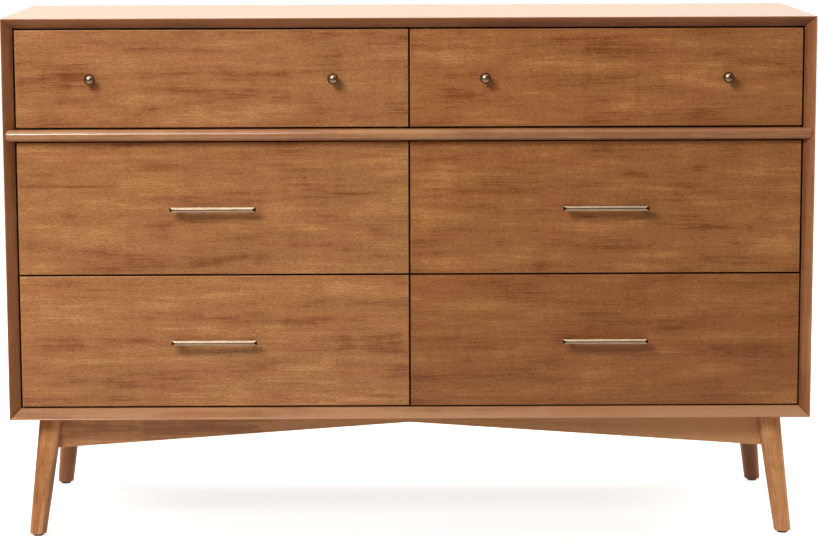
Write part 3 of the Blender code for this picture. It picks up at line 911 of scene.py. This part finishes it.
def leg_tree():
    """Nodes that turn a row of heights into a tapered, leaning, round-footed leg."""
    tree, marks, given = new_shape_tree("turned_leg", {
        "Float": ["Top Radius", "Foot Radius", "Length", "Foot Ease"],
        "Vector": ["Lean", "Centre"], "Int": ["Sides"]})
    height = place_parts(tree)["Z"]
    share = maths(tree, "DIVIDE", times(tree, height, -1.0), given["Length"])
    change = maths(tree, "SUBTRACT", given["Foot Radius"], given["Top Radius"])
    radius = maths(tree, "MULTIPLY_ADD", share, change, given["Top Radius"])
    left = maths(tree, "DIVIDE", maths(tree, "ADD", given["Length"], height),
                 given["Foot Ease"])
    near_foot = maths(tree, "SUBTRACT", 1.0, left, clamp=True)
    round_off = maths(tree, "SUBTRACT", 1.0, maths(tree, "POWER", near_foot, 2.0))
    round_off = maths(tree, "SUBTRACT", 1.0, maths(tree, "SQRT", round_off))
    round_off = times(tree, round_off, given["Foot Ease"])
    radius = maths(tree, "SUBTRACT", radius, round_off)

    line = put(tree, "GeometryNodeMeshToCurve", {"Mesh": given["Geometry"]}).outputs[0]
    solid = swept(tree, line, given["Sides"], radius)
    lean = put(tree, "ShaderNodeVectorMath", {0: given["Lean"], "Scale": share},
               operation="SCALE").outputs[0]
    solid = moved(tree, solid, vectors(tree, "ADD", lean, given["Centre"]))
    end_shape_tree(tree, given, solid)
    return tree, marks


def leg_places(word):
    """The centres of a leg at its top and foot, and its radii there."""
    spots = points_of(NODES["leg_" + word].data)
    top_z, foot_z = spots[:, 2].max(), spots[:, 2].min()
    ends = spots[spots[:, 2] > top_z - TOUCH_DISTANCE]
    low, high = ends.min(axis=0), ends.max(axis=0)
    foot = middle_of("glide_" + word)
    top_radius = float(high[0] - low[0]) / 2
    foot_radius = float(abs(spots[:, 0]).max() - abs(foot.x)) + FOOT_EASE_LOSS
    top = Vector(((low + high) / 2).tolist())
    return top, Vector((foot.x, foot.y, foot_z)), top_radius, foot_radius


def leg_grain(top, foot):
    """Lays the grain along a leaning leg."""
    def lay(spots):
        fall = (top.z - spots[:, 2]) / (top.z - foot.z)
        across = spots[:, 0] - top.x - (foot.x - top.x) * fall
        through = spots[:, 1] - top.y - (foot.y - top.y) * fall
        return np.stack([spots[:, 2], across, through], axis=1)
    return lay


# Each leg's tones, at its left and at its right. They are painted light and shade: the front legs
# darker on their lit left side and paler on their right, the front right leg paler as if more lit,
# the rear legs darker as in the shade of the case.
LEG_PAINTED_SHADING = {"leg_front_left": (-0.6, 0.45), "leg_front_right": (0.2, 0.6),
             "leg_rear_left": (-0.45, -1.1), "leg_rear_right": (-1.05, -0.6)}


def leg_painted_tone(top, foot, tones):
    """A tone that changes from the left of a leaning leg to its right: painted light and shade."""
    lay = leg_grain(top, foot)
    return lambda spots: np.interp(lay(spots)[:, 1], (-LEG_REACH, LEG_REACH), tones)


def dress_legs():
    tree = leg_tree()
    words = [end + "_" + side for end in ENDS for side, _ in SIDES]
    for number, word in enumerate(words):
        node = "leg_" + word
        top, foot, top_radius, foot_radius = leg_places(word)
        length = top.z - foot.z
        steps = list(np.linspace(0, length - LEG_EASE, LEG_STEPS))
        turns = np.linspace(0, math.pi / 2, LEG_EASE_STEPS)[1:]
        steps += [length - LEG_EASE * (1 - math.sin(turn)) for turn in turns]
        heights = seeds(node + "_heights", [(0, 0, -step) for step in steps], joined=True)
        mesh = grown("turned_" + node, heights, tree, {
            "Top Radius": top_radius, "Foot Radius": foot_radius, "Length": float(length),
            "Foot Ease": LEG_EASE, "Lean": (foot.x - top.x, foot.y - top.y, 0.0),
            "Centre": tuple(top), "Sides": LEG_SIDES, "Finish": STAINED_LEG})
        finish_piece("turned_" + node, mesh, STAINED_LEG, [node],
                     grain=leg_grain(top, foot),
                     shift=number * Vector((1.3, 0.7, 0.3)),
                     tone=leg_painted_tone(top, foot, LEG_PAINTED_SHADING[node]))
        dress_glide("glide_" + word)


def dress_glide(node):
    """A disc with a rounded lower lip, under a leg."""
    low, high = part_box(node)
    radius, height = (high.x - low.x) / 2, high.z - low.z
    outline = [(0, 0)] + arc((radius - GLIDE_LIP, GLIDE_LIP), GLIDE_LIP, -90, 0, 5)
    outline += [(radius, height - GLIDE_EDGE), (radius - GLIDE_EDGE, height), (0, height)]
    middle = middle_of(node)
    shape = lathe(outline, (middle.x, middle.y, low.z), (0, 0, 1))
    finish_piece("turned_" + node, mesh_of(node, shape), GLIDE_NYLON, [node])


def dress_aprons():
    # Painted light: the front apron grows paler towards its right end, as if lit more there
    painted_light = slope(0, -HALF_WIDTH, HALF_WIDTH, 0.05, 1.2)
    for node, tone, number in (("apron_front", painted_light, 1), ("apron_rear", 0.0, 2)):
        shape = whole_shape(node)
        ease(shape, APRON_EASE)
        finish_piece("eased_" + node, mesh_of(node, shape), STAINED_LEG, [node],
                     shift=(number * 2.3, number * 0.9, 0.5), tone=tone)


def dress_blocks():
    """Glue blocks that hold each apron to the bottom board, behind it."""
    for node, inward in (("apron_front", 1), ("apron_rear", -1)):
        low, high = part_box(node)
        y = (high.y if inward > 0 else low.y) + inward * (BLOCK_WIDTH / 2 + BLOCK_GAP)
        z = CASE_BOTTOM_Z - BLOCK_WIDTH / 2 - BLOCK_GAP
        piece = node + "_blocks"
        spots = seeds(piece, [(x, y, z) for x in BLOCK_PLACES])
        shape = bmesh.new()
        shape.from_mesh(grown(piece, spots, BLOCK_TREE, {
            "Length": BLOCK_LENGTH, "Width": BLOCK_WIDTH, "Far Width": BLOCK_WIDTH,
            "Thickness": BLOCK_WIDTH, "Facing": (0.0, 0.0, 0.0), "Finish": BOX_WOOD}))
        ease(shape, BLOCK_EASE)
        finish_piece(piece, mesh_of(piece, shape), BOX_WOOD, body=body_of(node))


# The drawers

def dress_front(name, number):
    """A drawer front with eased edges and its own figure."""
    node = name + "_drawer_front"
    shape = whole_shape(node)
    ease(shape, FRONT_EASE)
    # Painted shade on the narrow edge faces, which are seen in the gaps
    paint_gap_shade(shape)
    shift = number * Vector((2.7, 1.1, 0.6))
    marks = [(x * MM + shift.x, z * MM + shift.y, length * MM, height * MM, strength)
             for x, z, length, height, strength in FRONT_MARKS[name]]
    finish = wood_finish("stained_front_" + name, FRONT_STAINS[name], banding=0.35,
                         streaking=0.2, speckle=1.15, marks=marks)
    finish_piece("eased_" + node, mesh_of(node, shape), finish, [node],
                 shift=shift)


def dress_box(name, number):
    """The drawer's sides and back, their edges eased, and its bottom."""
    for count, part in enumerate(("side_left", "side_right", "back")):
        node = name + "_drawer_" + part
        shape = whole_shape(node)
        ease(shape, BOX_EASE, 2)
        grain = "width" if part == "back" else "depth"
        finish_piece("eased_" + node, mesh_of(node, shape), BOX_WOOD, [node],
                     grain=grain, shift=(number * 1.9 + count, number * 0.8 + count * 0.4, 0.2),
                     tone=0.08 * (count - 1))
    dress_node(name + "_drawer_bottom", PANEL_ALONG_WIDTH)


def dress_knob(node):
    """A ball on a waisted stem, with a small flange against the front."""
    low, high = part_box(node)
    middle = middle_of(node)
    reach = high.y - low.y
    ball_at = reach - KNOB_BALL
    meet = math.asin(KNOB_STEM / KNOB_BALL)
    inner, depth = KNOB_FLANGE - KNOB_FLANGE_ROUND, KNOB_FLANGE_DEPTH
    outline = [(0, 0), (KNOB_FLANGE, 0), (KNOB_FLANGE, depth * 0.6)]
    outline += arc((inner, depth - KNOB_FLANGE_ROUND), KNOB_FLANGE_ROUND, 0, 90, 4)
    outline += [(KNOB_STEM + wider, at) for wider, at in KNOB_WAIST]
    outline += [(KNOB_STEM, ball_at - KNOB_BALL * math.cos(meet))]
    outline += arc((0, ball_at), KNOB_BALL, math.degrees(meet) - 86, 86, 30)
    outline += [(0, reach)]
    mesh = mesh_of(node, lathe(outline, (middle.x, high.y, middle.z), (0, -1, 0)))
    ball_y = high.y - ball_at
    # Patinated hollow behind the ball and round the stem, and on the ball's outline a painted dark
    # reflection that fades out towards its front
    paint_patina_and_reflection(mesh, lambda face: np.interp(
        face.center.y, (ball_y - KNOB_DARK_FADE_BEFORE, ball_y + KNOB_DARK_BEHIND), (0.4, 1)))
    finish_piece("turned_" + node, mesh, BRONZE, [node])


def dress_pull(node):
    """The bar with its faceted front and crisp edges barely eased; its dark ends and darker ridge
    are painted dark reflection.
    """
    def patina_and_painted_reflection(face):
        if abs(face.normal.x) > 0.35:
            return 1.0
        beside_ridge = 0.15 if face.normal.z < 0 else 0.0
        return np.interp(-face.normal.y, (0.85, 0.97), (beside_ridge, 0.45))

    shape = whole_shape(node)
    ease(shape, PULL_EASE, 2)
    mesh = mesh_of(node, shape)
    paint_patina_and_reflection(mesh, patina_and_painted_reflection)
    finish_piece("polished_" + node, mesh, BRONZE, [node])


def dress_handle_screws(name, row, number):
    """The heads of the handles' screws, inside the drawer on the back of its front."""
    if row == "top":
        middles = [middle_of(name + "_knob_" + word) for word, _ in SIDES]
        places = [middle.x for middle in middles]
        height = middles[0].z
    else:
        middle = middle_of(name + "_pull")
        places = [middle.x - PULL_POST_REACH, middle.x + PULL_POST_REACH]
        height = middle.z
    front = name + "_drawer_front"
    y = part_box(front)[1].y - SCREW_SUNK
    set_screws(name + "_handle_screws", [(x, y, height) for x in places], body_of(front),
               HANDLE_SCREW_RADIUS, number)


def dress_joints(name, number):
    """The dovetails' end grain, flush on the outsides of the drawer's sides at both ends."""
    spots = {1: [], -1: []}
    for word, way in SIDES:
        low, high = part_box(name + "_drawer_side_" + word)
        x = (high.x if way > 0 else low.x) - way * (PIN_THICKNESS / 2 - PIN_PROUD)
        count = int((high.z - low.z) / PIN_SPACING)
        for z in np.linspace(low.z, high.z, 2 * count + 1)[1::2]:
            spots[1].append((x, high.y - PIN_LENGTH / 2 - PIN_END_GAP, z))
            spots[-1].append((x, low.y + PIN_LENGTH / 2 + PIN_END_GAP, z))
    for end, places in spots.items():
        piece = name + ("_rear_pins" if end > 0 else "_front_pins")
        mesh = grown(piece, seeds(piece, places), BLOCK_TREE, {
            "Length": PIN_LENGTH, "Width": PIN_WIDTH, "Far Width": PIN_FAR_WIDTH,
            "Thickness": PIN_THICKNESS, "Finish": PIN_WOOD,
            "Facing": (0.0, math.pi / 2, -end * math.pi / 2)})
        finish_piece(piece, mesh, PIN_WOOD, body=body_of(name + "_drawer_front"),
                     grain="height", shift=number * Vector((0.7, 0.3, 0.0)))


def dress_drawers():
    names = [(row, row + "_" + word) for row in ROWS for word, _ in SIDES]
    for number, (row, name) in enumerate(names, 1):
        dress_front(name, number)
        dress_box(name, number)
        dress_handle_screws(name, row, number)
        dress_joints(name, number)
        if row == "top":
            dress_knob(name + "_knob_left")
            dress_knob(name + "_knob_right")
        else:
            dress_pull(name + "_pull")


# Room, light and camera

WHITE = (1.0, 1.0, 1.0, 1.0)
ROOM_LIGHT = (1.0, 0.87, 0.76, 1.0)
MIRRORED_WALL = (1.0, 0.97, 0.86, 1.0)
FLOOR_COLOUR = (0.48, 0.46, 0.43, 1.0)
FLOOR_REACH = 45
FLOOR_BELOW_FEET = 0.0002

CAMERA_PLACE = (-0.0265, -5.02575, 1.1833)
CAMERA_TURNS = (-0.300, 8.359, -0.183)
CAMERA_LENS = 121.34
SENSOR_WIDTH = 36


def rays_of(tree):
    """Whether the camera looks, and whether gloss or glass does."""
    path = tree.nodes.new("ShaderNodeLightPath").outputs
    shiny = maths(tree, "MAXIMUM", path["Is Glossy Ray"], path["Is Transmission Ray"])
    return path["Is Camera Ray"], shiny


def make_world():
    """White to the camera and, behind the dresser, in its gloss; soft warm light elsewhere."""
    world = bpy.data.worlds.new("studio")
    bpy.context.scene.world = world
    tree = empty_tree(world)
    camera, shiny = rays_of(tree)
    way = put(tree, "ShaderNodeTexCoord").outputs["Generated"]
    back = level(tree, parts_of(tree, way)["Y"], -0.25, 0.35)
    white = maths(tree, "MAXIMUM", camera, times(tree, shiny, back))
    room = put(tree, "ShaderNodeBackground", {"Color": ROOM_LIGHT, "Strength": 0.12})
    seen = blend(tree, camera, MIRRORED_WALL, WHITE)
    plain = put(tree, "ShaderNodeBackground", {"Color": seen, "Strength": 1.0})
    both = put(tree, "ShaderNodeMixShader", {0: white, 1: room.outputs[0], 2: plain.outputs[0]})
    put(tree, "ShaderNodeOutputWorld", {"Surface": both.outputs[0]})


def make_floor():
    """A pale floor that looks white, also in gloss, keeps the shadow and is clear from below."""
    shape = bmesh.new()
    bmesh.ops.create_grid(shape, x_segments=1, y_segments=1, size=FLOOR_REACH)
    bmesh.ops.translate(shape, verts=shape.verts, vec=(0, 0, -FLOOR_BELOW_FEET))
    floor = new_object("pale_floor", mesh_of("pale_floor", shape))
    material = bpy.data.materials.new("pale_floor")
    tree = empty_tree(material)
    camera, shiny = rays_of(tree)
    distance = vectors(tree, "LENGTH", put(tree, "ShaderNodeTexCoord").outputs["Object"])
    seen = times(tree, camera, level(tree, distance, 0.9, 2.2, 0.72, 1.0))
    # Painted reflection: in gloss the floor glows only near the dresser, so that the metal's lower
    # faces mirror a bright floor
    shown = times(tree, shiny, level(tree, distance, 0.8, 1.5, 0.55, 0.0))
    white = maths(tree, "MAXIMUM", seen, shown)
    matt = put(tree, "ShaderNodeBsdfDiffuse", {"Color": FLOOR_COLOUR})
    lift = put(tree, "ShaderNodeEmission", {"Color": WHITE, "Strength": white})
    both = put(tree, "ShaderNodeAddShader", {0: matt.outputs[0], 1: lift.outputs[0]})
    clear = put(tree, "ShaderNodeBsdfTransparent")
    below = times(tree, camera, tree.nodes.new("ShaderNodeNewGeometry").outputs["Backfacing"])
    either = put(tree, "ShaderNodeMixShader", {0: below, 1: both.outputs[0], 2: clear.outputs[0]})
    put(tree, "ShaderNodeOutputMaterial", {"Surface": either.outputs[0]})
    floor.data.materials.append(material)


def soft_lamp(name, place, aim, size, power, shown=True, lighting=True):
    """An oblong softbox, which the gloss mirrors if shown and which lights if lighting."""
    lamp = bpy.data.lights.new(name, "AREA")
    lamp.shape = "RECTANGLE"
    lamp.size, lamp.size_y = size
    lamp.energy = power
    holder = new_object(name, lamp)
    holder.location = place
    holder.rotation_euler = (Vector(aim) - Vector(place)).to_track_quat("-Z", "Y").to_euler()
    holder.visible_camera = False
    holder.visible_glossy = shown
    holder.visible_diffuse = lighting


def make_lights():
    """A key light at the upper left, broad lights above, and quieter ones for sides and back."""
    middle = (0, -0.2, 0.5)
    soft_lamp("key_softbox", (-1.65, -2.6, 2.65), middle, (1.7, 1.1), 97)
    soft_lamp("long_softbox", (-0.78, -2.95, 2.9), middle, (1.0, 1.3), 32, lighting=False)
    soft_lamp("front_softbox", (-0.3, -1.38, 2.9), middle, (2.4, 0.4), 8, lighting=False)
    soft_lamp("strip_softbox", (0.1, -0.55, 2.35), (0.1, -0.3, 0.5), (2.6, 0.44), 8)
    soft_lamp("top_softbox", (0, 0.5, 2.2), (0, 0.05, 0.92), (2.0, 0.5), 35)
    soft_lamp("rear_softbox", (1.3, 3.4, 2.1), (0, 0.2, 0.5), (1.6, 1.6), 75, shown=False)
    soft_lamp("left_softbox", (-2.9, 0.7, 2.3), (-0.7, 0, 0.5), (1.4, 1.4), 68, shown=False)
    soft_lamp("right_softbox", (2.9, 0.5, 2.3), (0.7, 0, 0.5), (1.4, 1.4), 68, shown=False)


def make_camera():
    """The camera at the photograph's angle; its turns in degrees are yaw, pitch down and roll."""
    yaw, pitch, roll = (math.radians(turn) for turn in CAMERA_TURNS)
    camera = bpy.data.cameras.new("camera")
    camera.lens = CAMERA_LENS
    camera.sensor_width = SENSOR_WIDTH
    holder = new_object("camera", camera)
    level_turn = Matrix.Rotation(yaw, 4, "Z") @ Matrix.Rotation(math.pi / 2 - pitch, 4, "X")
    holder.matrix_world = (Matrix.Translation(CAMERA_PLACE) @ level_turn
                           @ Matrix.Rotation(roll, 4, "Z"))
    bpy.context.scene.camera = holder


dress_case()
dress_rail()
dress_back()
dress_inner_frame()
dress_legs()
dress_aprons()
dress_blocks()
dress_drawers()
make_world()
make_floor()
make_lights()
make_camera()
bpy.context.scene.view_settings.view_transform = "Standard"
